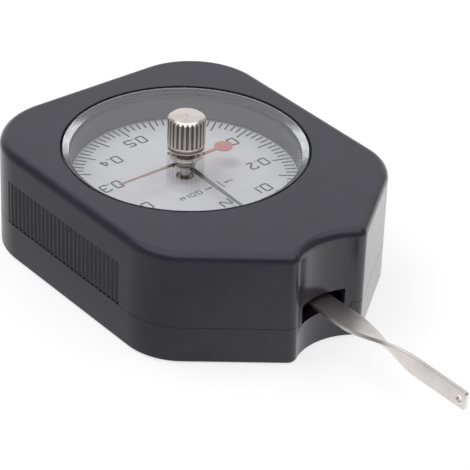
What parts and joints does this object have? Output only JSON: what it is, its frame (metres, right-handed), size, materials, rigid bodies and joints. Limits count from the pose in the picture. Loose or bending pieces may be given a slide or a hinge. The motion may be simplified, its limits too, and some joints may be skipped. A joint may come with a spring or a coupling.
{
  "type": "dial tension gauge",
  "caption": "Hand-held dial tension gauge: a ribbed two-part case, round dial under a clear lens, twisted feeler lever and fluted reset knob.",
  "frame": {"origin": "where the dial's axis meets the flat underside of the rear case", "axes": "+Z out of the dial along its axis, -Y along the feeler lever towards its tip, +X to the right"},
  "size_m": [0.06, 0.1141, 0.0307],
  "materials": {
    "case_plastic": "fine satin moulded dark grey",
    "clear_acrylic": "clear polished acrylic",
    "seal_rubber": "matt black",
    "dial_silver": "satin silver-white dial paint with black print",
    "brass": "machined",
    "steel": "turned",
    "nickel": "bright nickel plate",
    "screw_black": "black oxide",
    "spring_bronze": "drawn strip",
    "pointer_black": "satin black",
    "pointer_red": "satin red"
  },
  "bodies": {
    "housing": {"front_case": "case_plastic", "rear_case": "case_plastic", "lens": "clear_acrylic", "lens_seal": "seal_rubber", "dial_plate": "dial_silver", "front_plate": "brass", "rear_plate": "brass", "lever_bush_front": "brass", "lever_bush_rear": "brass", "pinion_bush_front": "brass", "pinion_bush_rear": "brass", "measuring_spring": "spring_bronze", "spring_stud": "steel", "hairspring": "spring_bronze", "hairspring_stud": "steel", "spindle_bush": "nickel", "bush_nut": "nickel", "case_screw_1": "screw_black", "plate_pillar_1": "brass", "pillar_screw_1": "steel", "case_screw_2": "screw_black", "plate_pillar_2": "brass", "pillar_screw_2": "steel", "case_screw_3": "screw_black", "plate_pillar_3": "brass", "pillar_screw_3": "steel", "case_screw_4": "screw_black", "plate_pillar_4": "brass", "pillar_screw_4": "steel", "movement_screw_1": "steel", "movement_screw_2": "steel", "movement_screw_3": "steel", "stop_pin_1": "steel", "stop_pin_2": "steel"},
    "lever": {"feeler_lever": "nickel", "lever_boss": "brass", "lever_rivet_1": "steel", "lever_rivet_2": "steel", "lever_axle": "steel", "sector_gear": "brass", "spring_collet": "brass"},
    "pointer": {"pinion_shaft": "steel", "hairspring_collet": "brass", "pointer_hub": "nickel", "main_pointer": "pointer_black"},
    "reset": {"knob": "nickel", "knob_spindle": "nickel", "drag_pointer_hub": "nickel", "drag_pointer": "pointer_red"}
  },
  "joints": [
    {"name": "lever_swing", "type": "hinge", "parent": "housing", "child": "lever", "pos_m": [0, -0.032, 0], "axis": [0, 0, 1], "range_deg": [-12, 12], "stiffness_Nm_per_rad": 0.12},
    {"name": "pointer_turn", "type": "hinge", "parent": "housing", "child": "pointer", "pos_m": [0, 0, 0], "axis": [0, 0, 1], "continuous": true},
    {"name": "knob_turn", "type": "hinge", "parent": "housing", "child": "reset", "pos_m": [0, 0, 0], "axis": [0, 0, 1], "continuous": true}
  ],
  "couplings": [
    {"joint": "pointer_turn", "follows": "lever_swing", "ratio": -15}
  ]
}
